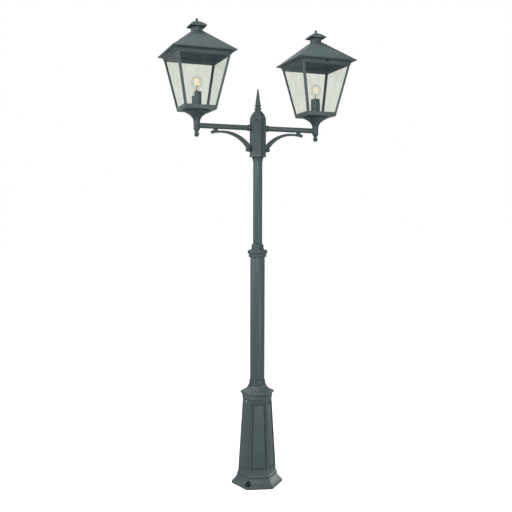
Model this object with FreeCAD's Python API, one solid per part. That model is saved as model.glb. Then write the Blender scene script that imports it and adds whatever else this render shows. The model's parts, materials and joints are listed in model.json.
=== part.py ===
"""Twin-lantern street lamp post: hexagonal cast base, stepped tubular column, hub with two arms.

Millimetres, +Z up, +X along the right arm. The origin is on the ground, on the column's axis.
Each piece is written to parts/NAME.step.
"""
import FreeCAD, Part
import math
import os

V = FreeCAD.Vector
UP = V(0, 0, 1)
COS30 = math.cos(math.radians(30))

# ---- driving dimensions ----
RUNNING = 0.05            # radial clearance of a pin or tube in its bore

# base casting: R is the distance from the axis to a corner of the hexagon
BASE_TURN = 195.6         # direction that the door faces, measured from +X
PLATE_R = 133.9
PLATE_EDGE = 13.0
BODY_FOOT = (99.4, 66.0)  # (R, z) where the tapered body starts
BODY_HEAD = (75.2, 455.0)
BASE_WALL = 7.0
BAND_R, BAND_FOOT_Z = 78.6, 447.0
RIM_R = 88.4
RIM_Z = 478.5
SEAT_Z = 448.0            # the lower tube stands here
BASE_TOP = 540.0
NECK_R = 42.0
ANCHOR_PCD = 228.0
ANCHOR_HOLE_R = 9.0
ANCHOR_POCKET_R = 16.5
ANCHOR_FLOOR = 4.5
ANCHOR_SPRING_Z = 22.0    # the pocket's upright wall ends here and its domed roof starts
PANEL_BORDER, PANEL_GROOVE = 8.0, 6.5

# service door in the base
DOOR_FOOT_Z = 92.0
DOOR_H = 351.0
DOOR_HALF_FOOT = 36.0
DOOR_HALF_HEAD = 28.4
DOOR_PROUD = 1.0
DOOR_REBATE = 2.5
DOOR_GAP = 0.6
DOOR_SCREW_Z = 342.0      # up the door from its foot
DOOR_OPENING_H = 330.0

# column
LOWER_TUBE_R, LOWER_TUBE_WALL = 38.05, 2.9
UPPER_TUBE_R, UPPER_TUBE_WALL = 24.15, 2.6
LOWER_TUBE_TOP = 1195.0
UPPER_TUBE_FOOT = 1130.0
UPPER_TUBE_TOP = 1758.0

# hub
HUB_R = 43.0
HUB_FOOT = 1702.0
HUB_SHOULDER = 1888.0
HUB_TOP = 1938.0
HUB_BORE_R = 29.0
FLUTE_HALF, FLUTE_DEPTH = 19.5, 5.0
FLUTE_FOOT, FLUTE_HEAD = 1713.0, 1898.0

# arms
ARM_Z = 1851.0
ARM_REACH = 330.0         # column axis to lantern axis
ARM_R, ARM_WALL = 13.45, 2.6
ARM_INNER_END = 33.0
BRACKET_FOOT_Z = 1752.0   # the screw that holds the bracket to the hub
BRACKET_SEAT_X = 52.0     # its head sits this far from the column's axis
BRACKET_STUB_X = 230.0    # the screw that holds the bracket's stub to the arm
BRACKET_SCREW_R = 2.0

# lantern: half widths are of the square sections
LEAN = 0.2075             # outward lean of the glazed sides, per millimetre of height
STEM_R = 15.8
TRAY_SCREW_R = 57.0
TRAY_Z, TRAY_HALF, TRAY_H = 1925.0, 80.9, 20.0
TRAY_WALL = 9.0
RING_Z, RING_H, RING_HALF, RING_INNER = 2186.0, 20.0, 135.4, 126.2
POST_LEG, POST_THICK = 12.0, 3.0
GLASS_THICK = 3.0
GLASS_GAP = 0.2
SKIRT_FOOT, SKIRT_INNER, SKIRT_HALF = 2190.5, 136.2, 138.6
EAVE_HALF, EAVE_Z = 162.2, 2210.5
ROOF_FOOT = (152.5, 2219.0)
ROOF_HEAD = (29.0, 2319.0)
ROOF_SKIN = 4.6           # measured straight down
NECK_TOP, CHIMNEY_R = 2343.0, 30.5
ROOF_SCREW_Z = 2199.0
ROOF_SCREW_SEAT = 142.0   # its head sits this far from the lantern's axis
CAP_HALF = 42.0
CAP_TOP = 2374.0
KNOB_R = 6.5

# lamp
HOLDER_Z = 1962.0
HOLDER_R, HOLDER_TOP = 21.8, 2017.0
COVER_R, COVER_WALL, COVER_TOP = 24.5, 1.5, 2020.0
CAP_R, CAP_Z, CAP_H = 13.2, 1992.0, 27.0
BULB_R, BULB_TOP = 30.0, 2099.0
CABLE_R = 2.5


# ---- outline and solid helpers ----
def path(start, *steps):
    """Edges in the XZ plane. A step is (x, z) for a line, or ((x, z), (x, z)) for an arc through the first."""
    edges = []
    here = start
    for step in steps:
        if isinstance(step[0], tuple):
            through, end = step
            arc = Part.Arc(V(here[0], 0, here[1]), V(through[0], 0, through[1]), V(end[0], 0, end[1]))
            edges.append(arc.toShape())
        else:
            end = step
            edges.append(Part.LineSegment(V(here[0], 0, here[1]), V(end[0], 0, end[1])).toShape())
        here = end
    return edges


def turned(start, *steps):
    """Solid of revolution about Z of a closed outline."""
    edges = path(start, *steps, start)
    return Part.Face(Part.Wire(edges)).revolve(V(), UP, 360)


def polygonal(sides, start, *steps):
    """Solid whose level sections are regular polygons. The outline gives the flat's distance from the axis.

    It starts and ends on the axis, and one flat faces +X.
    """
    half = path(start, *steps)
    edges = half + [e.mirror(V(), V(1, 0, 0)) for e in half]
    outline = Part.Face(Part.Wire(Part.__sortEdges__(edges)))
    reach = 2 * outline.BoundBox.XMax
    bar = outline.extrude(V(0, 2 * reach, 0))
    bar.translate(V(0, -reach, 0))
    solid = bar
    for k in range(1, sides // 2):
        turned_bar = bar.copy()
        turned_bar.rotate(V(), UP, 360.0 * k / sides)
        solid = solid.common(turned_bar)
    return solid


def hexagonal(start, *steps):
    """Hexagonal solid whose outline gives the corner's distance from the axis."""
    def flat(point):
        return (point[0] * COS30, point[1])

    scaled = [tuple(map(flat, s)) if isinstance(s[0], tuple) else flat(s) for s in steps]
    return polygonal(6, flat(start), *scaled)


def box(x, y, z):
    """Box from three (low, high) pairs."""
    return Part.makeBox(x[1] - x[0], y[1] - y[0], z[1] - z[0], V(x[0], y[0], z[0]))


def rod(radius, start, end):
    """Round bar from one point to another."""
    along = end - start
    return Part.makeCylinder(radius, along.Length, start, along)


def tube(radius, bore, start, end):
    return rod(radius, start, end).cut(rod(bore, start, end))


def at_angle(shape, degrees):
    copy = shape.copy()
    copy.rotate(V(), UP, degrees)
    return copy


def ring_of(shape, count, first=0.0):
    """Equal copies around the axis."""
    return [at_angle(shape, first + 360.0 * k / count) for k in range(count)]


def taper(half_foot, z_foot, half_head, z_head):
    """Square tapered block."""
    return polygonal(4, (0, z_foot), (half_foot, z_foot), (half_head, z_head), (0, z_head))


def prism(points, x_low, x_high):
    """Plate standing across X, from (y, z) corners."""
    corners = [V(x_low, y, z) for y, z in points]
    face = Part.Face(Part.makePolygon(corners + corners[:1]))
    return face.extrude(V(x_high - x_low, 0, 0))


# ---- base ----
def body_corner(z):
    """Corner of the tapered body, as (R, z), at height z."""
    (r0, z0), (r1, z1) = BODY_FOOT, BODY_HEAD
    return (r0 + (r1 - r0) * (z - z0) / (z1 - z0), z)


def body_flat(z):
    """Distance from the axis to a flat of the tapered body at height z."""
    return COS30 * body_corner(z)[0]


BODY_TILT = math.degrees(math.atan2(body_flat(0) - body_flat(100), 100))


def onto_face(shape, z):
    """Lean a shape, modelled about x = 0 and z = 0, back onto the body's +X flat at height z."""
    copy = shape.copy()
    copy.rotate(V(), V(0, 1, 0), -BODY_TILT)
    copy.translate(V(body_flat(z), 0, z))
    return copy


def door_outline(grow, foot, head):
    """Corners (y, z) of the door, grown sideways, between two heights."""
    def half(z):
        return DOOR_HALF_FOOT + (DOOR_HALF_HEAD - DOOR_HALF_FOOT) * z / DOOR_H + grow

    return [(-half(foot), foot), (half(foot), foot), (half(head), head), (-half(head), head)]


def face_panel():
    """Sunk panel for one flat of the body: a deep groove round a slightly sunk field."""
    plates = []
    for border, low_x, high_x in (
        (PANEL_BORDER, -4.2, 5.0), (PANEL_BORDER + PANEL_GROOVE, -6.0, -1.2)
    ):
        foot, head = DOOR_FOOT_Z + border - PANEL_BORDER, 424.0 - border + PANEL_BORDER
        low = body_flat(foot) / COS30 / 2 - border
        high = body_flat(head) / COS30 / 2 - border
        rise = head - foot
        plate = prism([(-low, 0), (low, 0), (high, rise), (-high, rise)], low_x, high_x)
        plates.append(onto_face(plate, foot))
    groove, field = plates
    return groove.cut(field)


def base_outside():
    rr = RIM_R
    hexagon = hexagonal(
        (0, 0), (PLATE_R, 0), (PLATE_R, PLATE_EDGE), ((116.0, 30.0), (104.5, 46.0)),
        ((106.0, 52.5), (103.2, 59.5)), BODY_FOOT, body_corner(BAND_FOOT_Z), (BAND_R, BAND_FOOT_Z),
        (BAND_R, 462.0), ((81.0, 468.6), (rr - 1.4, RIM_Z - 6)), (rr, RIM_Z - 3), (rr, RIM_Z + 3),
        (rr - 1.2, RIM_Z + 6), (81.5, RIM_Z + 7), (80.0, RIM_Z + 9), (66.0, 492.0),
        ((54.0, 502.5), (45.5, 519.0)), (0, 519.0),
    )
    neck = turned((0, 500), (NECK_R, 500), (NECK_R, BASE_TOP - 2), (NECK_R - 2, BASE_TOP), (0, BASE_TOP))
    collar = turned((0, 516), (NECK_R + 1.5, 516), ((NECK_R + 2.5, 519), (NECK_R + 1.5, 522)), (0, 522))
    return hexagon.fuse([neck, collar])


def make_base():
    cavity_top = SEAT_Z - 8
    wall = BASE_WALL
    cavity = polygonal(
        6, (0, -1), (body_flat(-1) - wall, -1), (body_flat(cavity_top) - wall, cavity_top), (0, cavity_top)
    )
    cuts = [cavity]
    cuts.append(rod(LOWER_TUBE_R + RUNNING, V(0, 0, SEAT_Z), V(0, 0, BASE_TOP + 1)))
    cuts.append(rod(32.0, V(0, 0, cavity_top - 1), V(0, 0, SEAT_Z + 1)))
    # the door's rebate, its opening and its screw hole
    rebate = prism(door_outline(DOOR_GAP, -DOOR_GAP, DOOR_H + DOOR_GAP), -DOOR_REBATE, 10)
    opening = prism(door_outline(-5, 0, DOOR_OPENING_H), -20, 1)
    cuts += [onto_face(rebate, DOOR_FOOT_Z), onto_face(opening, DOOR_FOOT_Z)]
    cuts.append(onto_face(rod(2.9, V(-20, 0, DOOR_SCREW_Z), V(5, 0, DOOR_SCREW_Z)), DOOR_FOOT_Z))
    # sunk panels on the five other flats
    panel = face_panel()
    cuts += [at_angle(panel, 60 * k) for k in range(1, 6)]
    # two anchor pockets on opposite corners
    centre = V(ANCHOR_PCD / 2, 0, 0)
    spring = centre + UP * ANCHOR_SPRING_Z
    pocket = rod(ANCHOR_POCKET_R, centre + UP * ANCHOR_FLOOR, spring).fuse(
        Part.makeSphere(ANCHOR_POCKET_R, spring))
    hole = rod(ANCHOR_HOLE_R, centre - UP, centre + UP * 60)
    cuts += ring_of(pocket, 2, 30) + ring_of(hole, 2, 30)
    # set-screw holes in the neck, and two blind tapped holes for the wiring plate
    cuts += ring_of(rod(4.0, V(30, 0, 530), V(50, 0, 530)), 3, 0)
    cuts += [rod(2.5, V(-44, y, cavity_top - 1), V(-44, y, cavity_top + 12)) for y in (-14, 14)]
    return base_outside().cut(cuts)


def make_door():
    plate = prism(door_outline(0, 0, DOOR_H), -DOOR_REBATE + 0.05, DOOR_PROUD)
    plate = plate.makeChamfer(0.6, [e for e in plate.Edges if e.BoundBox.XMin > DOOR_PROUD - 0.01])
    root = box((-9, -DOOR_REBATE + 0.1), (-14, 14), (5, 11))
    tongue = box((-9, -7), (-14, 14), (-6, 11))
    door = plate.fuse([root, tongue])
    return door.cut(rod(2.7, V(-20, 0, DOOR_SCREW_Z), V(5, 0, DOOR_SCREW_Z)))


def make_door_screw():
    """Pan-head screw along +X, its head seated on the door."""
    seat = V(DOOR_PROUD + 0.02, 0, DOOR_SCREW_Z)
    head = Part.makeCylinder(5.0, 3.2, seat, V(1, 0, 0))
    head = head.makeFillet(1.2, [e for e in head.Edges if e.BoundBox.XMin > DOOR_PROUD + 3])
    shank = rod(2.5, V(-10, 0, DOOR_SCREW_Z), seat + V(1, 0, 0))
    slot = box((DOOR_PROUD + 2.0, DOOR_PROUD + 6), (-0.6, 0.6), (DOOR_SCREW_Z - 8, DOOR_SCREW_Z + 8))
    return head.fuse(shank).cut(slot)


def make_wiring_plate():
    """Hanging steel plate behind the terminal block, with a tab under the base's ledge."""
    ledge = SEAT_Z - 8
    plate = box((-17, -14), (-28, 28), (250, ledge))
    tab = box((-52, -14), (-24, 24), (ledge - 3, ledge))
    holes = [rod(2.7, V(-44, y, ledge - 5), V(-44, y, ledge + 1)) for y in (-14, 14)]
    holes.append(rod(3.05, V(-20, 0, 268), V(-10, 0, 268)))
    slots = [rod(2.05, V(-20, y, 316), V(-10, y, 316)) for y in (-24, 24)]
    return plate.fuse(tab).cut(holes + slots)


def make_wiring_screws():
    """Two hex-head screws up through the plate's tab."""
    ledge = SEAT_Z - 8
    screws = []
    for y in (-14, 14):
        head = Part.Face(Part.makePolygon([
            V(-44 + 4.6 * math.cos(math.radians(60 * k)), y + 4.6 * math.sin(math.radians(60 * k)), ledge - 6.5)
            for k in range(7)
        ])).extrude(UP * 3.5)
        screws.append(head.fuse(rod(2.45, V(-44, y, ledge - 4), V(-44, y, ledge + 10))))
    return Part.makeCompound(screws)


def make_terminal_block():
    """Five-way block: a row of screw towers on a stepped body."""
    body = box((-13.9, 8), (-31, 31), (304, 330))
    ledge = box((-13.9, 13), (-31, 31), (304, 318))
    cuts = [box((-3, 20), (-31.5 + 12.4 * k - 0.6, -31.5 + 12.4 * k + 0.6), (303, 331)) for k in range(1, 5)]
    for k in range(5):
        y = -25.3 + 12.4 * k
        cuts.append(rod(2.6, V(10.5, y, 311), V(20, y, 311)))
        cuts.append(rod(2.2, V(4, y, 303), V(4, y, 309)))
    return body.fuse(ledge).cut(cuts)


def make_block_screws():
    """Two small screws that pass the block's ears into the plate."""
    screws = []
    for y in (-24, 24):
        screws.append(rod(1.95, V(-18.5, y, 316), V(-14, y, 316)))
    return Part.makeCompound(screws)


def make_earth_stud():
    stud = rod(3.0, V(-19, 0, 268), V(4, 0, 268))
    nut = Part.Face(Part.makePolygon([
        V(-14, 5.8 * math.cos(math.radians(60 * k)), 268 + 5.8 * math.sin(math.radians(60 * k)))
        for k in range(7)
    ])).extrude(V(5, 0, 0))
    head = rod(5.5, V(-21, 0, 268), V(-17, 0, 268))
    return stud.fuse([nut, head])


# ---- column ----
def make_lower_tube():
    return tube(LOWER_TUBE_R, LOWER_TUBE_R - LOWER_TUBE_WALL, V(0, 0, SEAT_Z), V(0, 0, LOWER_TUBE_TOP))


def make_upper_tube():
    return tube(
        UPPER_TUBE_R, UPPER_TUBE_R - UPPER_TUBE_WALL, V(0, 0, UPPER_TUBE_FOOT), V(0, 0, UPPER_TUBE_TOP)
    )


def make_mid_collar():
    """Reducing collar: a spigot in the lower tube, two hexagonal beads and a round cup."""
    beads = hexagonal(
        (0, 1180), (43.0, 1180), ((46.4, 1185), (46.4, 1190)), ((46.4, 1196), (47.6, 1199)),
        ((51.8, 1203), (51.6, 1210)), ((50.6, 1216), (43.0, 1220)), (0, 1220),
    )
    cup = turned(
        (0, 1215), (34.6, 1215), (34.6, 1222), ((33.0, 1226), (32.2, 1232)), (31.0, 1241),
        ((29.6, 1246), (26.0, 1250)), (0, 1250),
    )
    spigot = rod(LOWER_TUBE_R - LOWER_TUBE_WALL - RUNNING, V(0, 0, UPPER_TUBE_FOOT), V(0, 0, 1200))
    socket = rod(LOWER_TUBE_R + RUNNING, V(0, 0, 1170), V(0, 0, LOWER_TUBE_TOP))
    bore = rod(UPPER_TUBE_R + RUNNING, V(0, 0, 1100), V(0, 0, 1260))
    holes = ring_of(rod(3.0, V(20, 0, 1236), V(40, 0, 1236)), 3, 0)
    return beads.cut(socket).fuse([cup, spigot]).cut([bore] + holes)


def grub_screws(radius, inner, outer, z, first):
    """Three socket set screws on a level circle, flush with the collar that they clamp."""
    screw = rod(radius, V(inner, 0, z), V(outer, 0, z))
    socket = rod(radius * 0.5, V(outer - 1.5, 0, z), V(outer + 1, 0, z))
    return Part.makeCompound(ring_of(screw.cut(socket), 3, first))


# ---- hub ----
def hub_flute():
    """Upright hollow flute with rounded ends for one face of the hub."""
    radius = (FLUTE_HALF ** 2 + FLUTE_DEPTH ** 2) / (2 * FLUTE_DEPTH)
    foot = V(HUB_R * COS30 + radius - FLUTE_DEPTH, 0, FLUTE_FOOT + FLUTE_HALF)
    head = V(foot.x, 0, FLUTE_HEAD - FLUTE_HALF)
    return rod(radius, foot, head).fuse([Part.makeSphere(radius, foot), Part.makeSphere(radius, head)])


def make_hub():
    column = hexagonal(
        (0, HUB_FOOT), (HUB_R + 1.4, HUB_FOOT), (HUB_R + 1.4, HUB_FOOT + 5), (HUB_R, HUB_FOOT + 7),
        (HUB_R, HUB_SHOULDER), ((37.0, 1915), (20.0, HUB_TOP)), (0, HUB_TOP),
    )
    collar = turned(
        (0, 1680), (25.9, 1680), (26.6, 1682), ((27.8, 1692), (31.8, 1700)), (31.8, 1706), (0, 1706)
    )
    flutes = [at_angle(hub_flute(), a) for a in (60, 120, 240, 300)]
    bore = rod(UPPER_TUBE_R + RUNNING, V(0, 0, 1670), V(0, 0, UPPER_TUBE_TOP))
    inside = turned(
        (0, UPPER_TUBE_TOP - 1), (UPPER_TUBE_R + RUNNING, UPPER_TUBE_TOP - 1), (HUB_BORE_R, 1766),
        (HUB_BORE_R, 1892), ((26, 1912), (12, 1924)), (0, 1924),
    )
    arm_hole = rod(ARM_R + RUNNING, V(-60, 0, ARM_Z), V(60, 0, ARM_Z))
    finial_hole = rod(8 + RUNNING, V(0, 0, 1920), V(0, 0, HUB_TOP + 1))
    holes = ring_of(rod(3.0, V(20, 0, 1692), V(40, 0, 1692)), 3, 70)
    tapped = rod(BRACKET_SCREW_R + RUNNING, V(-60, 0, BRACKET_FOOT_Z), V(60, 0, BRACKET_FOOT_Z))
    return column.fuse(collar).cut(flutes + [bore, inside, arm_hole, finial_hole, tapped] + holes)


def make_spire():
    """Six-sided spike over two pointed beads, with a threaded spigot below."""
    spike = hexagonal(
        (0, HUB_TOP), (17.2, HUB_TOP), (17.2, 1942), (14.8, 1946), (20.2, 1952.0), (13.6, 1958.5),
        (13.6, 1962), (19.8, 1967.5), (13.0, 1973), (13.6, 1977), (3.9, 2050), ((2.8, 2054), (0, 2056)),
    )
    return spike.fuse(rod(8.0, V(0, 0, 1922), V(0, 0, HUB_TOP + 1)))


# ---- arms, modelled on the left, towards -X ----
def make_arm():
    pipe = tube(ARM_R, ARM_R - ARM_WALL, V(-ARM_INNER_END, 0, ARM_Z), V(-ARM_REACH, 0, ARM_Z))
    stem_notch = rod(STEM_R + 0.02, V(-ARM_REACH, 0, 1800), V(-ARM_REACH, 0, 1900))
    stub_hole = rod(BRACKET_SCREW_R + RUNNING, V(-BRACKET_STUB_X, 0, ARM_Z - 20), V(-BRACKET_STUB_X, 0, ARM_Z))
    return pipe.cut([stem_notch, stub_hole])


def make_arm_collar():
    """Moulded ring on the arm, against the hub."""
    face = HUB_R * COS30
    bore = ARM_R + RUNNING
    outline = path(
        (bore, face), (ARM_R + 2.8, face), ((ARM_R + 3.2, face + 2), (ARM_R + 2.0, face + 4.5)),
        (ARM_R + 1.5, face + 6), (ARM_R + 1.5, face + 11), ((ARM_R + 3.8, face + 15.5), (ARM_R + 1.8, face + 20)),
        (bore, face + 21), (bore, face),
    )
    ring = Part.Face(Part.Wire(outline)).revolve(V(), UP, 360)
    ring.rotate(V(), V(0, 1, 0), -90)
    ring.translate(V(0, 0, ARM_Z))
    return ring


def make_arm_connector():
    """Threaded connector that joins the arm's end to the lantern stem. The cable runs through it."""
    plug = rod(ARM_R - ARM_WALL - 0.02, V(-296, 0, ARM_Z), V(-308, 0, ARM_Z))
    neck = rod(6.5, V(-308, 0, ARM_Z), V(-321, 0, ARM_Z))
    return plug.fuse(neck).cut(rod(4.0, V(-290, 0, ARM_Z), V(-325, 0, ARM_Z)))


def make_bracket():
    """Scroll bracket: a bar that thickens from the arm down to the hub, with a ball at each end."""
    wide = 6.0
    hub_face = -HUB_R * COS30
    outline = path(
        (hub_face, 1728), (hub_face, 1760), (-45, 1765), ((-115, 1816), (-206, 1830)), (-218, 1830.5),
        (-221, 1838.8), (-239, 1838.8), (-241, 1829), (-247, 1826), (-247, 1816.5), (-232, 1816.5),
        ((-140, 1808.5), (-66, 1752)), (-60, 1742), (-52, 1728), (hub_face, 1728),
    )
    bar = Part.Face(Part.Wire(outline)).extrude(V(0, 2 * wide, 0))
    bar.translate(V(0, -wide, 0))
    saddle = rod(ARM_R + 0.02, V(-200, 0, ARM_Z), V(-260, 0, ARM_Z))
    outer_ball = Part.makeSphere(9.0, V(-247.0, 0, 1821.0))
    inner_ball = Part.makeSphere(10.6, V(-57.0, 0, 1738.5))
    hole_r = BRACKET_SCREW_R + RUNNING
    screw_hole = rod(hole_r, V(-30, 0, BRACKET_FOOT_Z), V(-80, 0, BRACKET_FOOT_Z))
    head_room = rod(3.7, V(-BRACKET_SEAT_X, 0, BRACKET_FOOT_Z), V(-110, 0, BRACKET_FOOT_Z))
    stub_hole = rod(hole_r, V(-BRACKET_STUB_X, 0, 1800), V(-BRACKET_STUB_X, 0, 1842))
    return bar.fuse([outer_ball, inner_ball]).cut([saddle, screw_hole, head_room, stub_hole])


def make_bracket_screws():
    """A headed screw into the hub and a socket set screw up into the arm's wall."""
    seat = V(-BRACKET_SEAT_X - 0.02, 0, BRACKET_FOOT_Z)
    shank = rod(BRACKET_SCREW_R, V(-32, 0, BRACKET_FOOT_Z), seat)
    head = rod(3.5, seat, seat - V(3.2, 0, 0)).cut(rod(1.5, seat - V(1.4, 0, 0), seat - V(4, 0, 0)))
    set_screw = rod(BRACKET_SCREW_R, V(-BRACKET_STUB_X, 0, 1820), V(-BRACKET_STUB_X, 0, ARM_Z - ARM_R + 3))
    socket = rod(1.1, V(-BRACKET_STUB_X, 0, 1819), V(-BRACKET_STUB_X, 0, 1822))
    return shank.fuse(head), set_screw.cut(socket)


# ---- lantern, modelled about its own axis ----
def side_half(z):
    """Half width of the leaning glazed sides at height z."""
    return TRAY_HALF + (z - TRAY_Z) * LEAN


def make_stem():
    """Dish and stem casting that carries the tray."""
    solid = turned(
        (0, TRAY_Z), (67.0, TRAY_Z), ((68.0, 1922.6), (66.0, 1920.2)), (60.0, 1919.4),
        ((60.6, 1917.0), (58.6, 1915.0)), (54.5, 1914.2), (41.0, 1905.5), ((25.5, 1892.0), (17.0, 1874)),
        (17.6, 1872.5), (17.6, 1869), (STEM_R, 1867.5), (STEM_R, 1836.5), (17.2, 1834.5), (17.2, 1832.5),
        (15.2, 1831), (8.6, 1819), (0, 1819),
    )
    bore = rod(8.5, V(0, 0, 1832), V(0, 0, TRAY_Z + 1))
    dish = turned((0, 1915), (18, 1915), (48, 1919.5), (48, TRAY_Z + 1), (0, TRAY_Z + 1))
    spigot = rod(5.05, V(0, 0, 1818), V(0, 0, 1833))
    side_hole = rod(6.55, V(0, 0, ARM_Z), V(30, 0, ARM_Z))
    screw_holes = ring_of(rod(2.1, V(TRAY_SCREW_R, 0, 1915), V(TRAY_SCREW_R, 0, TRAY_Z + 1)), 4, 45)
    return solid.cut([bore, dish, spigot, side_hole] + screw_holes)


def make_drop():
    """Ball drop screwed into the stem from below."""
    neck = turned((0, 1812), (8.2, 1812), (8.2, 1819), (0, 1819))
    return Part.makeSphere(12.8, V(0, 0, 1806.0)).fuse([neck, rod(5.0, V(0, 0, 1815), V(0, 0, 1832))])


def make_tray():
    top = TRAY_Z + TRAY_H
    block = taper(side_half(TRAY_Z), TRAY_Z, side_half(top), top)
    inner = side_half(top) - TRAY_WALL
    hollow = box((-inner, inner), (-inner, inner), (TRAY_Z + 5, top + 1))
    cable = rod(8.5, V(0, 0, TRAY_Z - 1), V(0, 0, TRAY_Z + 6))
    screw_holes = ring_of(rod(2.1, V(TRAY_SCREW_R, 0, TRAY_Z - 1), V(TRAY_SCREW_R, 0, TRAY_Z + 6)), 4, 45)
    drains = ring_of(rod(2.0, V(72, 0, TRAY_Z - 1), V(72, 0, TRAY_Z + 6)), 2, 0)
    return block.cut([hollow, cable] + screw_holes + drains)


def make_tray_screws():
    floor = TRAY_Z + 5
    foot, seat = V(TRAY_SCREW_R, 0, 1916), V(TRAY_SCREW_R, 0, floor)
    screw = rod(2.0, foot, seat).fuse(rod(4.0, seat, seat + UP * 2.6))
    slot = box((TRAY_SCREW_R - 5, TRAY_SCREW_R + 5), (-0.5, 0.5), (floor + 1.6, floor + 4))
    return Part.makeCompound(ring_of(screw.cut(slot), 4, 45))


def side_block(inset, z_low, z_high):
    """Tapered block that follows the glazed sides, set in by a horizontal distance."""
    return taper(side_half(z_low) - inset, z_low, side_half(z_high) - inset, z_high)


def side_band(inset, z_low, z_high):
    """Upright wedge across X whose edges follow the leaning corners."""
    low, high = side_half(z_low) - inset, side_half(z_high) - inset
    return prism([(-low, z_low), (low, z_low), (high, z_high), (-high, z_high)], -300, 300)


def make_posts():
    """Four leaning corner angles."""
    low, high = TRAY_Z + TRAY_H, RING_Z
    shell = side_block(0, low, high).cut(side_block(POST_THICK, low - 1, high + 1))
    band = side_band(POST_LEG, low - 1, high + 1)
    posts = shell.cut([band, at_angle(band, 90)])
    return Part.makeCompound(posts.Solids)


def make_panes():
    """Four clear panes held behind the corner angles."""
    low, high = TRAY_Z + TRAY_H + GLASS_GAP, RING_Z - GLASS_GAP
    outer = POST_THICK + GLASS_GAP
    shell = side_block(outer, low, high).cut(side_block(outer + GLASS_THICK, low - 1, high + 1))
    pane = shell.common(side_band(outer + GLASS_THICK + 0.5, low - 1, high + 1)).common(
        box((0, 200), (-200, 200), (low - 2, high + 2)))
    return Part.makeCompound(ring_of(pane, 4))


def make_ring():
    """Square ring that joins the posts' heads and seats the roof."""
    top = RING_Z + RING_H
    ring = box((-RING_HALF, RING_HALF), (-RING_HALF, RING_HALF), (RING_Z, top))
    inner = RING_INNER
    return ring.cut(box((-inner, inner), (-inner, inner), (RING_Z - 1, top + 1)))


def make_roof():
    """Square roof: skirt, cove, bead and pyramid, with a round chimney neck."""
    outside = polygonal(
        4, (0, SKIRT_FOOT), (SKIRT_HALF, SKIRT_FOOT), (SKIRT_HALF, SKIRT_FOOT + 3),
        ((SKIRT_HALF + 5.9, EAVE_Z - 6.3), (EAVE_HALF - 8.0, EAVE_Z - 3.4)), (EAVE_HALF - 3.5, EAVE_Z - 3.2),
        ((EAVE_HALF, EAVE_Z + 1.0), (EAVE_HALF - 3.5, EAVE_Z + 5.4)), (ROOF_FOOT[0] + 1, EAVE_Z + 5.8), ROOF_FOOT,
        ROOF_HEAD, (0, ROOF_HEAD[1]),
    )
    neck = turned(
        (0, 2300), (44, 2300), ((34.0, 2313), (CHIMNEY_R, 2322)), (CHIMNEY_R, NECK_TOP - 3),
        (CHIMNEY_R + 1.5, NECK_TOP - 3), (CHIMNEY_R + 1.5, NECK_TOP), (0, NECK_TOP),
    )
    slope = (ROOF_HEAD[1] - ROOF_FOOT[1]) / (ROOF_FOOT[0] - ROOF_HEAD[0])

    def under(half):
        """Height of the roof's underside at a half width."""
        return ROOF_FOOT[1] - ROOF_SKIN + (ROOF_FOOT[0] - half) * slope

    hollow = polygonal(
        4, (0, SKIRT_FOOT - 1), (SKIRT_INNER, SKIRT_FOOT - 1), (SKIRT_INNER, under(SKIRT_INNER)),
        (30.0, under(30.0)), (0, under(30.0)),
    )
    chimney = rod(26.5, V(0, 0, 2300), V(0, 0, NECK_TOP - 5))
    stud_hole = rod(3.1, V(0, 0, NECK_TOP - 8), V(0, 0, NECK_TOP + 1))
    # four corner webs rest on the ring
    seat = RING_Z + RING_H
    corner = Part.Face(Part.makePolygon([
        V(SKIRT_INNER + 1, SKIRT_INNER + 1, seat), V(SKIRT_INNER - 26, SKIRT_INNER + 1, seat),
        V(SKIRT_INNER + 1, SKIRT_INNER - 26, seat), V(SKIRT_INNER + 1, SKIRT_INNER + 1, seat)]))
    webs = ring_of(corner.extrude(UP * 8), 4)
    screw_hole = rod(2.6, V(0, RING_INNER, ROOF_SCREW_Z), V(0, EAVE_HALF + 5, ROOF_SCREW_Z))
    spot_face = rod(5.2, V(0, ROOF_SCREW_SEAT, ROOF_SCREW_Z), V(0, ROOF_SCREW_SEAT + 10, ROOF_SCREW_Z))
    return outside.fuse(neck).cut([hollow, chimney, stud_hole]).fuse(webs).cut([screw_hole, spot_face])


def make_roof_screw():
    """Screw through the roof's skirt. Its point bears on the ring."""
    seat = ROOF_SCREW_SEAT
    shank = rod(2.5, V(0, RING_HALF + RUNNING, ROOF_SCREW_Z), V(0, seat + 1, ROOF_SCREW_Z))
    head = Part.makeCylinder(4.6, 3.4, V(0, seat, ROOF_SCREW_Z), V(0, 1, 0))
    head = head.makeFillet(1.0, [e for e in head.Edges if e.BoundBox.YMin > seat + 3])
    slot = box((-5, 5), (seat + 2.2, seat + 5), (ROOF_SCREW_Z - 0.6, ROOF_SCREW_Z + 0.6))
    return head.fuse(shank).cut(slot)


def make_cap():
    """Small domed square cap over the chimney neck."""
    half = CAP_HALF
    cap = polygonal(
        4, (0, NECK_TOP), (half - 0.8, NECK_TOP), (half, NECK_TOP + 1.5), (half, NECK_TOP + 6.5),
        (half - 2.0, NECK_TOP + 8.5), ((25.5, 2363.2), (9.0, 2372.0)), (7.0, CAP_TOP), (0, CAP_TOP),
    )
    hollow = polygonal(
        4, (0, NECK_TOP - 1), (half - 3.5, NECK_TOP - 1), (half - 3.5, NECK_TOP + 6), (24.0, 2359.0),
        (11.0, 2366.0), (0, 2366.0),
    )
    land = rod(12.0, V(0, 0, NECK_TOP), V(0, 0, 2369.0))
    rest = tube(CHIMNEY_R + 1.0, CHIMNEY_R - 3, V(0, 0, NECK_TOP), V(0, 0, 2354.0)).common(cap)
    return cap.cut(hollow).fuse([land, rest]).cut(rod(3.1, V(0, 0, NECK_TOP - 1), V(0, 0, CAP_TOP + 1)))


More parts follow.
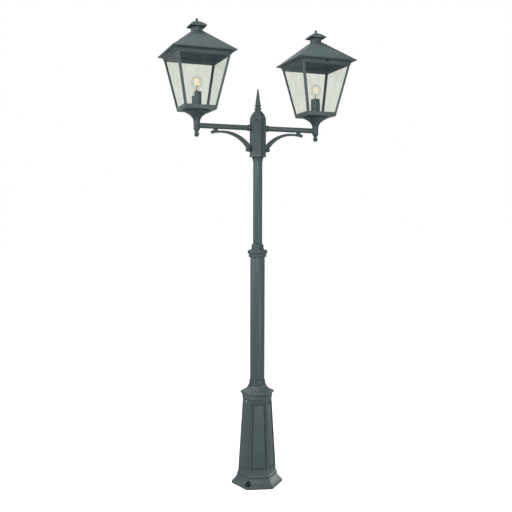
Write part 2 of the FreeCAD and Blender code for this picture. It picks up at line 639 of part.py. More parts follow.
def make_knob():
    """Round nut on a stud that clamps the cap to the neck."""
    z = CAP_TOP
    neck = turned((0, z), (5.6, z), (5.6, z + 1.6), (4.0, z + 2.6), (4.0, z + 6), (0, z + 6))
    ball = Part.makeSphere(KNOB_R, V(0, 0, z + 8.2))
    return ball.fuse([neck, rod(3.0, V(0, 0, NECK_TOP - 7.5), V(0, 0, z + 1))])


# ---- lamp ----
def make_holder():
    """Ceramic screw lampholder on a narrow foot."""
    foot_z = TRAY_Z + 5
    body = turned(
        (0, HOLDER_Z), (HOLDER_R - 1.5, HOLDER_Z), (HOLDER_R, HOLDER_Z + 2), (HOLDER_R, HOLDER_TOP - 2),
        (HOLDER_R - 1.5, HOLDER_TOP), (0, HOLDER_TOP),
    )
    foot = tube(12.0, 4.0, V(0, 0, foot_z), V(0, 0, HOLDER_Z))
    well = rod(CAP_R + RUNNING, V(0, 0, CAP_Z), V(0, 0, HOLDER_TOP + 1))
    contact_room = rod(5.0, V(0, 0, CAP_Z - 6), V(0, 0, CAP_Z + 1))
    return body.fuse(foot).cut([well, contact_room])


def make_contact():
    """Brass centre contact at the bottom of the lampholder."""
    return rod(4.9, V(0, 0, CAP_Z - 6), V(0, 0, CAP_Z - 4)).fuse(rod(2.2, V(0, 0, CAP_Z - 5), V(0, 0, CAP_Z - 2.6)))


def make_cover():
    """Sleeve around the lampholder, with a cut-away at the head for the terminals."""
    foot = TRAY_Z + 5
    bore = COVER_R - COVER_WALL
    sleeve = tube(COVER_R, bore, V(0, 0, foot), V(0, 0, COVER_TOP))
    flange = tube(COVER_R + 6, bore, V(0, 0, foot), V(0, 0, foot + 3))
    window = box((-40, -8), (-17.5, 17.5), (1997, COVER_TOP + 1))
    return sleeve.fuse(flange).cut(window)


def make_bulb_cap():
    shell = turned(
        (0, CAP_Z + 2), (9.0, CAP_Z + 2), (CAP_R, CAP_Z + 6), (CAP_R, CAP_Z + CAP_H), (0, CAP_Z + CAP_H)
    )
    return shell.fuse(rod(4.0, V(0, 0, CAP_Z - 2.5), V(0, 0, CAP_Z + 3)))


def bulb_outline(shrink):
    """Pear outline of the glass, set in by a distance."""
    foot = CAP_Z + CAP_H
    radius = BULB_R - shrink
    centre = BULB_TOP - BULB_R
    low = math.radians(-38)
    tangent = (radius * math.cos(low), centre + radius * math.sin(low))
    return [
        (0, foot), (12.6 - shrink, foot), (12.6 - shrink, foot + 6),
        ((15.2 - shrink, foot + 16), tangent),
        ((radius, centre), (0, centre + radius)),
    ]


def make_bulb_glass():
    outer = turned(*bulb_outline(0))
    inner = turned(*bulb_outline(1.0))
    foot = CAP_Z + CAP_H
    press = rod(11.6, V(0, 0, foot), V(0, 0, foot + 2))
    return outer.cut(inner).fuse(press)


def make_filament():
    """Glass stem with six upright glowing rods and their supports."""
    z = CAP_Z + CAP_H + 2
    stem = turned((0, z), (6.5, z), ((4.0, z + 5), (2.6, z + 12)), (1.6, z + 52), (0, z + 53))
    rods = []
    for k in range(6):
        angle = math.radians(60 * k)
        low = V(9.0 * math.cos(angle), 9.0 * math.sin(angle), 2049)
        high = V(6.5 * math.cos(angle), 6.5 * math.sin(angle), 2087)
        rods.append(rod(1.2, low, high))
        rods.append(rod(0.5, V(1.5 * math.cos(angle), 1.5 * math.sin(angle), 2040), low + UP))
        rods.append(rod(0.5, V(0, 0, 2071), high - UP * 0.5))
    return stem.fuse(rods)


# ---- wiring ----
def make_cable():
    """Two-core flex from the terminal block, up the column, out along the arm and up the stem."""
    bend_hub, bend_stem = 24.0, 11.5
    x0, x1 = -6.0, -ARM_REACH
    foot, head = 330.0, HOLDER_Z
    turn = math.sqrt(0.5)
    spine = Part.Wire([
        Part.LineSegment(V(x0, 0, foot), V(x0, 0, ARM_Z - bend_hub)).toShape(),
        Part.Arc(V(x0, 0, ARM_Z - bend_hub),
                 V(x0 - bend_hub * (1 - turn), 0, ARM_Z - bend_hub * (1 - turn)),
                 V(x0 - bend_hub, 0, ARM_Z)).toShape(),
        Part.LineSegment(V(x0 - bend_hub, 0, ARM_Z), V(x1 + bend_stem, 0, ARM_Z)).toShape(),
        Part.Arc(V(x1 + bend_stem, 0, ARM_Z),
                 V(x1 + bend_stem * (1 - turn), 0, ARM_Z + bend_stem * (1 - turn)),
                 V(x1, 0, ARM_Z + bend_stem)).toShape(),
        Part.LineSegment(V(x1, 0, ARM_Z + bend_stem), V(x1, 0, head)).toShape(),
    ])
    section = Part.Wire(Part.makeCircle(CABLE_R, V(x0, 0, foot), UP))
    cable = spine.makePipeShell([section], True, True)
    length = spine.Length
    print("cable length", round(length, 1), "bends", bend_hub, bend_stem,
          "volume ratio", round(cable.Volume / (math.pi * CABLE_R ** 2 * length), 4))
    return cable


# ---- assembly ----
def at_lantern(shape, z_turn):
    """Move a lantern piece out to the left arm's end, then round to its own side."""
    copy = shape.copy()
    copy.translate(V(-ARM_REACH, 0, 0))
    copy.rotate(V(), UP, z_turn)
    return copy


def build():
    nodes = {}
    for name, shape in (
        ("base_pedestal", make_base()),
        ("base_door", onto_face(make_door(), DOOR_FOOT_Z)),
        ("door_screw", onto_face(make_door_screw(), DOOR_FOOT_Z)),
        ("base_set_screws", grub_screws(3.95, LOWER_TUBE_R, NECK_R - 0.4, 530, 0)),
        ("wiring_plate", make_wiring_plate()),
        ("wiring_plate_screws", make_wiring_screws()),
        ("terminal_block", make_terminal_block()),
        ("terminal_block_screws", make_block_screws()),
        ("earth_stud", make_earth_stud()),
        ("mid_collar", make_mid_collar()),
        ("mid_collar_set_screws", grub_screws(2.95, UPPER_TUBE_R, 31.0, 1236, 0)),
    ):
        nodes[name] = at_angle(shape, BASE_TURN)
    # the wires stand upright from the block whatever the base's turn
    nodes["lower_tube"] = make_lower_tube()
    nodes["upper_tube"] = make_upper_tube()
    nodes["hub"] = make_hub()
    nodes["hub_set_screws"] = grub_screws(2.95, UPPER_TUBE_R, 27.6, 1692, 70)
    nodes["hub_spire"] = make_spire()

    hub_screw, arm_screw = make_bracket_screws()
    nodes["bracket_screws"] = Part.makeCompound(
        [at_angle(s, a) for a in (0, 180) for s in (hub_screw, arm_screw)])
    nodes["arm_connectors"] = Part.makeCompound([at_angle(make_arm_connector(), a) for a in (0, 180)])
    arm_pieces = (("arm", make_arm()), ("arm_collar", make_arm_collar()),
                  ("scroll_bracket", make_bracket()), ("flex", make_cable()))
    lantern_pieces = (
        ("stem", make_stem()), ("drop_ball", make_drop()), ("tray", make_tray()),
        ("tray_screws", make_tray_screws()), ("corner_posts", make_posts()), ("panes", make_panes()),
        ("top_ring", make_ring()), ("roof", make_roof()), ("roof_screw", make_roof_screw()),
        ("chimney_cap", make_cap()), ("cap_knob", make_knob()), ("lampholder", make_holder()),
        ("lampholder_contact", make_contact()), ("lampholder_cover", make_cover()),
        ("bulb_cap", make_bulb_cap()), ("bulb_glass", make_bulb_glass()), ("bulb_filament", make_filament()),
    )
    for side, z_turn in (("left", 0), ("right", 180)):
        for name, shape in arm_pieces:
            nodes[name + "_" + side] = at_angle(shape, z_turn)
        for name, shape in lantern_pieces:
            nodes[name + "_" + side] = at_lantern(shape, z_turn)
    return nodes


os.makedirs("parts", exist_ok=True)
for node, shape in build().items():
    if not shape.isValid():
        print("not valid:", node)
    shape.exportStep("parts/" + node + ".step")
    print(node, len(shape.Solids), "solids", round(shape.Volume / 1000, 1), "cm3")
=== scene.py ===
import json
import math

import bmesh
import bpy
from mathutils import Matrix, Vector


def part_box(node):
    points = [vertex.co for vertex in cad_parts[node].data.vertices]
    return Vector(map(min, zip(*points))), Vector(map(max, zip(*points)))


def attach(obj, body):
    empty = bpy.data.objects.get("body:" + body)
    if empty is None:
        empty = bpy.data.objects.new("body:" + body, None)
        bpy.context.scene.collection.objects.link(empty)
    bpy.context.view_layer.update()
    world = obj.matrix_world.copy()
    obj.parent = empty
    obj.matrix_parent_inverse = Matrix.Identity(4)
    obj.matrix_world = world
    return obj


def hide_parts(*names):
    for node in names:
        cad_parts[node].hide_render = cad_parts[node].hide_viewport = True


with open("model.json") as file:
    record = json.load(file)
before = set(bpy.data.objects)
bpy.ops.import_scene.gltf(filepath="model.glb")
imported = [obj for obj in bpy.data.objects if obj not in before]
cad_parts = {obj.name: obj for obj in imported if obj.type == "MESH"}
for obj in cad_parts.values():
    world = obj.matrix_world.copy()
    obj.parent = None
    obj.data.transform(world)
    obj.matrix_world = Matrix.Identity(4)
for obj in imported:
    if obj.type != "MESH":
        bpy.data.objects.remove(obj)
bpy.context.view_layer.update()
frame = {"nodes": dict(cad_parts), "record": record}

SIDES = ("left", "right")
MM = 0.001


def rgba(red, green, blue):
    return (red, green, blue, 1.0)


def darker(colour, share):
    return rgba(*(share * c for c in colour[:3]))


# ---- view: lengths in metres ----
VIEW_TURN = math.radians(20.71)      # how far the camera stands round towards the left lantern
VIEW_DISTANCE = 3.786
VIEW_HEIGHT = 1.385
VIEW_ASIDE = -0.0085                 # towards the camera's right
VIEW_PITCH = math.radians(1.15)      # downwards
VIEW_ROLL = math.radians(0.136)      # the picture's own lean
LENS_MM = 51.04
SENSOR_MM = 36.0
SHIFT_UP = -0.0459                   # in widths of the picture
VIEW_REACH = 100.0

# ---- light ----
ROOM = rgba(0.94, 0.99, 1.0)         # what surfaces and reflections see all round
ROOM_STRENGTH = 0.55
BACKDROP = rgba(1, 1, 1)             # what the camera sees
FLOOR_LIGHT = rgba(0.90, 0.90, 0.90)
FLOOR_DARK = rgba(0.87, 0.87, 0.87)
FLOOR_GLOW = 0.60                    # brings the floor up to the backdrop's tone
FLOOR_REACH = 30.0
AIM = 1.3                            # the height that a light looks at
WIDE = 180                           # degrees a light spreads over

# name, azimuth, distance, height, size, watts, height looked at, spread. An azimuth is in degrees
# from the camera's side of the post and goes up towards the camera's left; lengths are in metres.
LIGHTS = (
    ("left", 62, 3.8, 3.0, (1.2, 2.4), 48, AIM, WIDE),
    ("left_side", 92, 3.4, 1.4, (1.0, 1.4), 9, AIM, WIDE),
    ("right_low", -42, 3.6, 0.45, (1.0, 0.9), 25, AIM, WIDE),
    ("right_mid", -34, 3.6, 1.85, (0.6, 0.4), 6, AIM, WIDE),
    ("front", 5, 4.2, 3.6, (1.6, 1.6), 80, AIM, WIDE),
    ("overhead", 65, 1.9, 4.6, (2.2, 2.2), 44, 0.0, WIDE),
    ("back_right", -127, 2.2, 0.62, (0.6, 0.5), 0.45, 0.02, 30),
    ("back", 165, 4.0, 3.0, (2.0, 2.0), 10, AIM, WIDE),
)

# ---- colours ----
PAINT_DARK = rgba(0.033, 0.053, 0.054)
PAINT_LIGHT = rgba(0.043, 0.064, 0.065)
PAINT_SPECK = rgba(0.053, 0.076, 0.077)
# wear and painted highlight: the colour that convex edges lighten towards
PAINT_EDGE_WEAR_AND_HIGHLIGHT = rgba(0.125, 0.155, 0.157)
# painted shade: the colour that corners and recesses darken towards
PAINT_CORNER_SHADE = rgba(0.008, 0.013, 0.014)
GLASS_FILM = rgba(0.34, 0.54, 0.66)
GLASS_INDEX = 1.45
GLOW_DEEP = rgba(1.0, 0.74, 0.44)
GLOW_PALE = rgba(1.0, 0.81, 0.54)
GLOW_COATING = rgba(0.8, 0.62, 0.30)
GLOW_STRENGTH = 1.12

# ---- edges ----
WELD = 2e-6                          # metres
FLAT = math.radians(0.3)             # faces closer than this in direction become one
SHARP = math.radians(33.0)           # edges sharper than this are rounded
SMOOTH_CAD = math.radians(35.0)      # the largest angle between faces that is shaded as round
SMOOTH_LAMP = math.radians(60)
SMOOTH_THREAD = math.radians(50)


def body_of(node):
    for body, members in frame["record"]["behaviour"]["bodies"].items():
        if node in members:
            return body
    raise KeyError(node)


# ---- node helpers ----
class Shader:
    """A material with its node tree, and short calls that add and join nodes."""

    def __init__(self, name):
        self.material = bpy.data.materials.new(name)
        self.material.use_nodes = True
        self.tree = self.material.node_tree
        self.tree.nodes.clear()
        self.out = self.tree.nodes.new("ShaderNodeOutputMaterial")
        self.place = self.add("ShaderNodeTexCoord").outputs["Object"]

    def feed(self, socket, value):
        """Link a node's output to a socket, or set the socket to a plain value."""
        if isinstance(value, bpy.types.NodeSocket):
            self.tree.links.new(value, socket)
        else:
            socket.default_value = value

    def add(self, kind, inputs=None, **settings):
        node = self.tree.nodes.new(kind)
        for key, value in settings.items():
            setattr(node, key, value)
        for key, value in (inputs or {}).items():
            self.feed(node.inputs[key], value)
        return node

    def noise(self, scale, detail=3.0, roughness=0.55, stretch=None):
        """Noise value over the object's own place; the scale is per metre."""
        place = self.place
        if stretch:
            mapping = self.add("ShaderNodeMapping", {"Vector": place, "Scale": stretch})
            place = mapping.outputs["Vector"]
        inputs = {"Vector": place, "Scale": scale, "Detail": detail, "Roughness": roughness}
        return self.add("ShaderNodeTexNoise", inputs).outputs["Fac"]

    def ramp(self, value, low, high, out_low, out_high):
        """Linear map of a value, clamped."""
        inputs = {"Value": value, "From Min": low, "From Max": high,
                  "To Min": out_low, "To Max": out_high}
        return self.add("ShaderNodeMapRange", inputs).outputs["Result"]

    def mix(self, factor, one, two):
        """Colour between two colours. The node names its sockets alike for each type of value."""
        node = self.add("ShaderNodeMix", data_type="RGBA")
        wanted = (("Factor", "VALUE", factor), ("A", "RGBA", one), ("B", "RGBA", two))
        for name, kind, value in wanted:
            self.feed(next(s for s in node.inputs if (s.name, s.type) == (name, kind)), value)
        return next(s for s in node.outputs if s.type == "RGBA")

    def maths(self, operation, one, two):
        return self.add("ShaderNodeMath", {0: one, 1: two}, operation=operation).outputs["Value"]

    def bump(self, height, distance, normal=None):
        inputs = {"Height": height, "Distance": distance}
        if normal:
            inputs["Normal"] = normal
        return self.add("ShaderNodeBump", inputs).outputs["Normal"]

    def blend(self, amount, one, two):
        """Shader between two shaders."""
        return self.add("ShaderNodeMixShader", {0: amount, 1: one.outputs[0], 2: two.outputs[0]})

    def finished(self, shader):
        """The material, with a shader node as its surface."""
        self.tree.links.new(shader.outputs[0], self.out.inputs["Surface"])
        return self.material


# ---- materials ----
def paint(name, grain, grain_depth, wave_depth, roughness):
    """Dark green-grey powder coat: grain, slow colour drift, edges lightened as wear and painted
    highlight, painted shade in the corners.
    """
    s = Shader(name)
    drift = s.ramp(s.noise(9.0, 3.0), 0.3, 0.7, 0.0, 1.0)
    specks = s.ramp(s.noise(900.0, 2.0, 0.7), 0.35, 0.7, 0.0, 0.4)
    colour = s.mix(specks, s.mix(drift, PAINT_DARK, PAINT_LIGHT), PAINT_SPECK)

    # wear and painted highlight: convex edges lightened by pointiness, in patches
    edge = s.add("ShaderNodeNewGeometry").outputs["Pointiness"]
    edge_wear_and_highlight = s.maths("MULTIPLY", s.ramp(edge, 0.52, 0.60, 0.0, 0.9), s.noise(55.0, 4.0))
    colour = s.mix(edge_wear_and_highlight, colour, PAINT_EDGE_WEAR_AND_HIGHLIGHT)

    # painted shade: corners and recesses darkened by ambient occlusion, in patches
    openness = s.add("ShaderNodeAmbientOcclusion", {"Distance": 0.024}, samples=8).outputs["AO"]
    patches = s.ramp(s.noise(40.0, 3.0), 0.2, 0.6, 0.6, 1.0)
    corner_shade = s.maths("MULTIPLY", s.ramp(openness, 0.25, 0.85, 0.9, 0.0), patches)
    colour = s.mix(corner_shade, colour, PAINT_CORNER_SHADE)

    coarse = s.bump(s.noise(45.0, 3.0), wave_depth)
    fine = s.bump(s.noise(grain, 2.0, 0.6), grain_depth, coarse)
    return s.finished(s.add("ShaderNodeBsdfPrincipled", {
        "Base Color": colour, "Normal": fine,
        "Roughness": s.ramp(s.noise(30.0, 4.0), 0.3, 0.7, roughness - 0.05, roughness + 0.07),
        "Specular IOR Level": 0.40, "Coat Weight": 0.08, "Coat Roughness": 0.35,
    }))


def thin_glass(name, tint, film, ripple_scale, ripple_depth, gloss):
    """Clear glass as a thin wall: tinted see-through, a faint film, a shine on its outer faces."""
    s = Shader(name)
    streaks = s.ramp(s.noise(60.0, 3.0, stretch=(1.0, 1.0, 0.06)), 0.35, 0.65, 0.0, 1.0)
    clear = s.add("ShaderNodeBsdfTransparent", {"Color": s.mix(streaks, tint, darker(tint, 0.965))})
    haze = s.add("ShaderNodeBsdfDiffuse", {"Color": GLASS_FILM})
    wall = s.blend(s.ramp(s.noise(14.0, 4.0), 0.3, 0.75, film * 0.5, film), clear, haze)

    ripple = s.bump(s.noise(ripple_scale, 2.0, stretch=(1.0, 1.0, 0.4)), ripple_depth)
    shine = s.add("ShaderNodeBsdfGlossy", {
        "Color": rgba(1, 1, 1), "Roughness": 0.05, "Normal": ripple,
    })
    fresnel = s.add("ShaderNodeFresnel", {"IOR": GLASS_INDEX, "Normal": ripple}).outputs[0]
    inward = s.add("ShaderNodeNewGeometry").outputs["Backfacing"]
    outward = s.maths("SUBTRACT", 1.0, inward)
    amount = s.maths("MULTIPLY", s.maths("MULTIPLY", fresnel, gloss), outward)
    return s.finished(s.blend(amount, wall, shine))


def glow(name):
    """Warm filament coating."""
    s = Shader(name)
    return s.finished(s.add("ShaderNodeBsdfPrincipled", {
        "Base Color": GLOW_COATING, "Roughness": 0.5,
        "Emission Color": s.mix(s.noise(700.0, 2.0), GLOW_DEEP, GLOW_PALE),
        "Emission Strength": GLOW_STRENGTH,
    }))


def metal(name, colour, roughness, streak):
    """Bare or plated metal with fine streaks and stains."""
    s = Shader(name)
    streaks = s.noise(streak, 3.0, stretch=(1.0, 1.0, 0.1))
    return s.finished(s.add("ShaderNodeBsdfPrincipled", {
        "Base Color": s.mix(s.noise(60.0, 4.0), colour, darker(colour, 0.72)), "Metallic": 1.0,
        "Roughness": s.ramp(streaks, 0.3, 0.7, roughness - 0.06, roughness + 0.1),
        "Normal": s.bump(streaks, 0.00002),
    }))


def moulded(name, colour, roughness, coat=0.0):
    """Ceramic, plastic or rubber with a faint grain and a slow change of tone."""
    s = Shader(name)
    return s.finished(s.add("ShaderNodeBsdfPrincipled", {
        "Base Color": s.mix(s.noise(35.0, 4.0), colour, darker(colour, 0.85)), "Coat Weight": coat,
        "Roughness": s.ramp(s.noise(120.0, 3.0), 0.3, 0.7, roughness - 0.04, roughness + 0.08),
        "Normal": s.bump(s.noise(1200.0, 2.0), 0.00003),
    }))


MATERIALS = {
    "cast": paint("cast_paint", 950.0, 0.00016, 0.0005, 0.46),
    "tube": paint("tube_paint", 1400.0, 0.00005, 0.0001, 0.40),
    "pane": thin_glass("pane_glass", rgba(0.950, 0.955, 0.925), 0.035, 16.0, 0.0008, 0.70),
    "lamp": thin_glass("lamp_glass", rgba(0.99, 0.99, 0.98), 0.012, 30.0, 0.0001, 0.9),
    "stem_glass": thin_glass("stem_glass", rgba(0.95, 0.96, 0.95), 0.10, 60.0, 0.0002, 1.2),
    "glow": glow("filament_glow"),
    "nickel": metal("nickel_plate", rgba(0.62, 0.60, 0.55), 0.26, 300.0),
    "zinc": metal("zinc_plate", rgba(0.84, 0.86, 0.87), 0.26, 240.0),
    "brass": metal("brass_metal", rgba(0.60, 0.42, 0.16), 0.30, 260.0),
    "black_steel": metal("black_steel", rgba(0.035, 0.040, 0.042), 0.42, 260.0),
    "ceramic": moulded("white_ceramic", rgba(0.83, 0.82, 0.78), 0.22, 0.5),
    "plastic": moulded("terminal_plastic", rgba(0.72, 0.72, 0.68), 0.45),
    "rubber": moulded("cable_rubber", rgba(0.030, 0.031, 0.032), 0.62),
}
SLOT_MATERIAL = {
    "paint": "cast", "clear_glass": "pane", "lamp_glass": "lamp", "filament": "glow",
    "nickel": "nickel", "ceramic": "ceramic", "brass": "brass", "zinc_steel": "zinc",
    "dark_steel": "black_steel", "cable_sheath": "rubber", "terminal_plastic": "plastic",
}
SLOT_OF = {entry["node"]: entry["material_slot"] for entry in frame["record"]["subparts"]}


# ---- mesh helpers ----
def placed(name, data):
    """A new object in the scene."""
    thing = bpy.data.objects.new(name, data)
    bpy.context.scene.collection.objects.link(thing)
    return thing


def mesh_of(name, bm):
    """The mesh of a bmesh, which is freed."""
    mesh = bpy.data.meshes.new(name)
    bm.to_mesh(mesh)
    bm.free()
    return mesh


def new_piece(name, mesh, body, material, smooth):
    """Object for a finished mesh that rides on a body."""
    for polygon in mesh.polygons:
        polygon.use_smooth = True
    mesh.set_sharp_from_angle(angle=smooth)
    mesh.materials.clear()
    mesh.materials.append(MATERIALS[material])
    piece = placed(name, mesh)
    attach(piece, body)
    return piece


def clean_copy(node):
    """The node's mesh with its seams welded and its flat faces whole."""
    bm = bmesh.new()
    bm.from_mesh(frame["nodes"][node].data)
    bmesh.ops.remove_doubles(bm, verts=bm.verts, dist=WELD)
    bmesh.ops.dissolve_limit(
        bm, angle_limit=FLAT, verts=bm.verts, edges=bm.edges, delimit={"NORMAL"})
    bmesh.ops.recalc_face_normals(bm, faces=bm.faces)
    return mesh_of(node + "_soft", bm)


def softened(node, width_mm, material, segments):
    """A piece that stands for a CAD node, with every sharp edge rounded."""
    carrier = placed("carrier", clean_copy(node))
    bevel = carrier.modifiers.new("BEVEL", "BEVEL")
    bevel.width = width_mm * MM
    bevel.segments = segments
    bevel.limit_method = "ANGLE"
    bevel.angle_limit = SHARP
    bevel.use_clamp_overlap = True
    bevel.miter_outer = "MITER_ARC"
    graph = bpy.context.evaluated_depsgraph_get()
    mesh = bpy.data.meshes.new_from_object(carrier.evaluated_get(graph))
    bpy.data.objects.remove(carrier)
    slot = SLOT_OF[node]
    material = material or SLOT_MATERIAL[slot]
    piece = new_piece(node + "_body", mesh, body_of(node), material, SMOOTH_CAD)
    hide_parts(node)


def lathe(name, outline, segments, wobble=None):
    """Turned mesh from (radius, height) points in mm.

    wobble(angle, radius, height) gives the radius at one vertex.
    """
    bm = bmesh.new()
    rings = []
    for radius, height in outline:
        ring = []
        for k in range(segments):
            angle = 2 * math.pi * k / segments
            r = wobble(angle, radius, height) if wobble else radius
            place = (r * math.cos(angle) * MM, r * math.sin(angle) * MM, height * MM)
            ring.append(bm.verts.new(place))
        rings.append(ring)
    for low, high in zip(rings, rings[1:]):
        for k in range(segments):
            n = (k + 1) % segments
            bm.faces.new((low[k], low[n], high[n], high[k]))
    bm.faces.new(list(reversed(rings[0])))
    bm.faces.new(rings[-1])
    return mesh_of(name, bm)


def joined(name, meshes, place):
    """One mesh made of several, moved to a place in metres."""
    bm = bmesh.new()
    for mesh in meshes:
        bm.from_mesh(mesh)
        bpy.data.meshes.remove(mesh)
    bmesh.ops.translate(bm, verts=bm.verts, vec=place)
    return mesh_of(name, bm)


def wire(name, points, radius, end_share=1.0):
    """Round wire through points in mm, as a mesh; its ends have a share of its radius."""
    curve = bpy.data.curves.new(name, "CURVE")
    curve.dimensions = "3D"
    curve.bevel_depth = radius * MM
    curve.bevel_resolution = 4
    curve.use_fill_caps = True
    spline = curve.splines.new("POLY")
    spline.points.add(len(points) - 1)
    for point, (x, y, z) in zip(spline.points, points):
        point.co = (x * MM, y * MM, z * MM, 1)
    spline.points[0].radius = spline.points[-1].radius = end_share
    carrier = placed(name, curve)
    mesh = bpy.data.meshes.new_from_object(carrier)
    bpy.data.objects.remove(carrier)
    return mesh


def middle(low, high):
    """Centre of a box in plan, in metres."""
    return Vector(((low[0] + high[0]) / 2, (low[1] + high[1]) / 2, 0))


# ---- stage ----
def make_camera():
    across = Vector((math.cos(VIEW_TURN), -math.sin(VIEW_TURN), 0))
    away = Vector((math.sin(VIEW_TURN), math.cos(VIEW_TURN), 0))
    data = bpy.data.cameras.new("camera")
    data.lens = LENS_MM
    data.sensor_width = SENSOR_MM
    data.shift_y = SHIFT_UP
    data.clip_end = VIEW_REACH
    camera = placed("camera", data)
    camera.location = VIEW_ASIDE * across - VIEW_DISTANCE * away + Vector((0, 0, VIEW_HEIGHT))
    camera.rotation_euler = (math.pi / 2 - VIEW_PITCH, -VIEW_ROLL, -VIEW_TURN)
    bpy.context.scene.camera = camera


def make_light(name, azimuth, distance, height, size, watts, aim, spread):
    """Area light that stands round the post and looks at it."""
    turn = VIEW_TURN + math.radians(azimuth)
    place = Vector((-math.sin(turn) * distance, -math.cos(turn) * distance, height))
    data = bpy.data.lights.new(name, "AREA")
    data.shape = "RECTANGLE"
    data.size, data.size_y = size
    data.energy = watts
    data.spread = math.radians(spread)
    light = placed(name, data)
    light.location = place
    light.rotation_euler = (Vector((0, 0, aim)) - place).to_track_quat("-Z", "Y").to_euler()


def make_world():
    """A white backdrop for the camera and the glass, and a dimmer room for everything else."""
    world = bpy.data.worlds.new("studio")
    bpy.context.scene.world = world
    world.use_nodes = True
    tree = world.node_tree
    tree.nodes.clear()

    def background(colour, strength):
        node = tree.nodes.new("ShaderNodeBackground")
        node.inputs["Color"].default_value = colour
        node.inputs["Strength"].default_value = strength
        return node.outputs[0]

    path = tree.nodes.new("ShaderNodeLightPath")
    seen = tree.nodes.new("ShaderNodeMath")
    seen.operation = "MAXIMUM"
    mixed = tree.nodes.new("ShaderNodeMixShader")
    out = tree.nodes.new("ShaderNodeOutputWorld")
    for source, target in (
            (path.outputs["Is Camera Ray"], seen.inputs[0]),
            (path.outputs["Is Transmission Ray"], seen.inputs[1]),
            (seen.outputs[0], mixed.inputs[0]),
            (background(ROOM, ROOM_STRENGTH), mixed.inputs[1]),
            (background(BACKDROP, 1.0), mixed.inputs[2]),
            (mixed.outputs[0], out.inputs["Surface"])):
        tree.links.new(source, target)


def make_floor():
    """Pale paper that the camera sees and nothing is lit by."""
    s = Shader("floor_paper")
    paper = s.finished(s.add("ShaderNodeBsdfPrincipled", {
        "Base Color": s.mix(s.noise(1.3, 3.0), FLOOR_LIGHT, FLOOR_DARK),
        "Roughness": 1.0, "Specular IOR Level": 0.0,
        "Emission Color": rgba(1, 1, 1), "Emission Strength": FLOOR_GLOW,
    }))
    bm = bmesh.new()
    bmesh.ops.create_grid(bm, x_segments=4, y_segments=4, size=FLOOR_REACH)
    mesh = mesh_of("floor", bm)
    mesh.materials.append(paper)
    floor = placed("floor", mesh)
    floor.visible_diffuse = False
    floor.visible_glossy = False


def make_stage():
    make_camera()
    make_world()
    make_floor()
    for light in LIGHTS:
        make_light(*light)
    bpy.context.scene.view_settings.view_transform = "Standard"
    bpy.context.scene.cycles.use_denoising = True


# ---- lamp: lengths in mm ----
RODS = 6
ROD_LENGTH = 37.0
ROD_RADIUS = 1.15
ROD_TIP_SHARE = 0.45                 # of its radius
ROD_TIP = 2.0                        # height over which a rod's end tapers
ROD_TIP_LEAN = 0.2                   # how far a rod leans in over that height
RODS_FOOT, RODS_HEAD = 8.9, 6.5      # radii of the circles that the rods' ends stand on
WIRE_RADIUS = 0.22
MAST_RADIUS = 0.3
THREAD_PITCH = 3.6
THREAD_DEPTH = 1.1
THREAD_FADE = 1.5                    # height over which the thread comes and goes
THREAD_STEP = 0.45                   # height between rings of the mesh


def make_bulb(side):
    """Six coated filament rods round a clear glass stem, with their support wires."""
    node = f"bulb_filament_{side}"
    low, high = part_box(node)
    centre = middle(low, high)
    body = body_of(node)
    foot, rod_head = low[2] / MM, high[2] / MM - 1
    rod_foot = rod_head - ROD_LENGTH
    turns = [math.radians(360 / RODS * k) for k in range(RODS)]

    def strand(name, turn, profile, radius, end_share=1.0):
        """Wire in the upright plane of one rod, through (radius, height) points."""
        points = [(r * math.cos(turn), r * math.sin(turn), z) for r, z in profile]
        return wire(name, points, radius, end_share)

    rod = [(RODS_FOOT, rod_foot), (RODS_FOOT - ROD_TIP_LEAN, rod_foot + ROD_TIP),
           (RODS_HEAD + ROD_TIP_LEAN, rod_head - ROD_TIP), (RODS_HEAD, rod_head)]
    rods = [strand(f"rod_{k}", turn, rod, ROD_RADIUS, ROD_TIP_SHARE)
            for k, turn in enumerate(turns)]
    glowing = new_piece(f"bulb_rods_{side}", joined("rods", rods, centre), body,
                        "glow", SMOOTH_LAMP)
    glowing.visible_diffuse = False
    glowing.visible_glossy = False
    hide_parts(node)

    stem = lathe("stem", [
        (5.0, foot + 0.3), (4.6, foot + 3), (2.4, foot + 9), (1.5, foot + 15),
        (1.4, rod_foot + 14), (2.1, rod_foot + 16), (0.8, rod_foot + 18)], 32)
    new_piece(f"bulb_stem_{side}", joined("stem", [stem], centre), body,
              "stem_glass", SMOOTH_LAMP)

    low_wire = [(1.0, foot + 14), (4.0, rod_foot - 4), (8.7, rod_foot - 1.4), (RODS_FOOT, rod_foot)]
    high_wire = [(0, rod_head - 3.5), (3.2, rod_head - 1.2), (RODS_HEAD, rod_head)]
    wires = []
    for k, turn in enumerate(turns):
        wires.append(strand(f"low_wire_{k}", turn, low_wire, WIRE_RADIUS))
        wires.append(strand(f"high_wire_{k}", turn, high_wire, WIRE_RADIUS))
    wires.append(wire("mast", [(0, 0, rod_foot + 17), (0, 0, rod_head - 3.5)], MAST_RADIUS))
    new_piece(f"bulb_wires_{side}", joined("wires", wires, centre), body,
              "nickel", SMOOTH_LAMP)


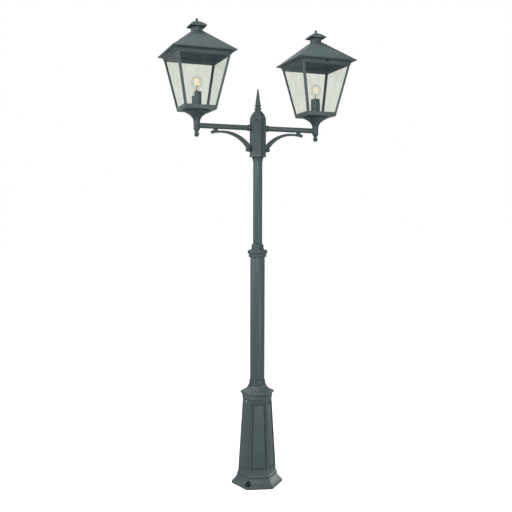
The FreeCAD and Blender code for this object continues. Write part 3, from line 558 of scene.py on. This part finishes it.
def make_thread(side):
    """Screw cap: a rolled thread between its rim and a dished insulator with a contact."""
    node = f"bulb_cap_{side}"
    low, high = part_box(node)
    foot, head = low[2] / MM, high[2] / MM
    outer = (high[0] - low[0]) / 2 / MM
    thread_foot, thread_head = foot + 4.5, head - 6.0
    wall_foot, wall_head = foot + 4, head - 1

    def rolled(angle, radius, height):
        coming = min(max((height - thread_foot) / THREAD_FADE, 0), 1)
        going = min(max((thread_head - height) / THREAD_FADE, 0), 1)
        phase = 2 * math.pi * height / THREAD_PITCH - angle
        return radius - coming * going * THREAD_DEPTH / 2 * (1 - math.cos(phase))

    steps = int((wall_head - wall_foot) / THREAD_STEP)
    insulator = [(2.0, foot), (4.4, foot + 0.2), (4.6, foot + 0.9), (8.5, foot + 2.2)]
    wall = [(outer, wall_foot + (wall_head - wall_foot) * k / steps) for k in range(steps + 1)]
    outline = insulator + [(outer - 1.2, foot + 3.4)] + wall + [(outer - 0.6, head)]
    cap = lathe("thread", outline, 72, rolled)
    piece = new_piece(f"bulb_thread_{side}", joined("thread", [cap], middle(low, high)),
                      body_of(node), "nickel", SMOOTH_THREAD)
    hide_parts(node)


# ---- the object: widths of the rounded edges in mm ----
BASE_AND_COLUMN = {
    "base_pedestal": 0.9, "base_door": 0.6, "door_screw": 0.25, "lower_tube": 0.4,
    "upper_tube": 0.4, "mid_collar": 0.7, "hub": 0.7, "hub_spire": 0.35, "earth_stud": 0.3,
    "wiring_plate": 0.4, "terminal_block": 0.8, "terminal_block_screws": 0.2,
    "wiring_plate_screws": 0.2, "base_set_screws": 0.2, "mid_collar_set_screws": 0.2,
    "hub_set_screws": 0.2, "bracket_screws": 0.2, "arm_connectors": 0.2,
}
LANTERN_AND_ARM = {
    "stem": 0.6, "drop_ball": 0.3, "tray": 0.6, "corner_posts": 0.4, "top_ring": 0.5, "roof": 0.6,
    "chimney_cap": 0.5, "cap_knob": 0.25, "lampholder_cover": 0.3, "arm_collar": 0.5,
    "scroll_bracket": 3.2, "arm": 0.4, "lampholder": 0.8, "roof_screw": 0.3, "tray_screws": 0.25,
}
ROUNDING_STEPS = {"base_pedestal": 3, "lampholder": 3, "scroll_bracket": 4}    # 2 elsewhere
DRAWN_TUBES = ("lower_tube", "upper_tube", "arm")    # their paint is smoother than the castings'


def soften_all(edges, ending=""):
    for name, width in edges.items():
        material = "tube" if name in DRAWN_TUBES else None
        softened(name + ending, width, material, ROUNDING_STEPS.get(name, 2))


def give_materials_to_nodes():
    """Nodes that keep their CAD shape still get a finished material."""
    for name, node in frame["nodes"].items():
        node.data.materials.clear()
        node.data.materials.append(MATERIALS[SLOT_MATERIAL[SLOT_OF[name]]])


make_stage()
give_materials_to_nodes()
soften_all(BASE_AND_COLUMN)
for side in SIDES:
    soften_all(LANTERN_AND_ARM, f"_{side}")
    make_bulb(side)
    make_thread(side)
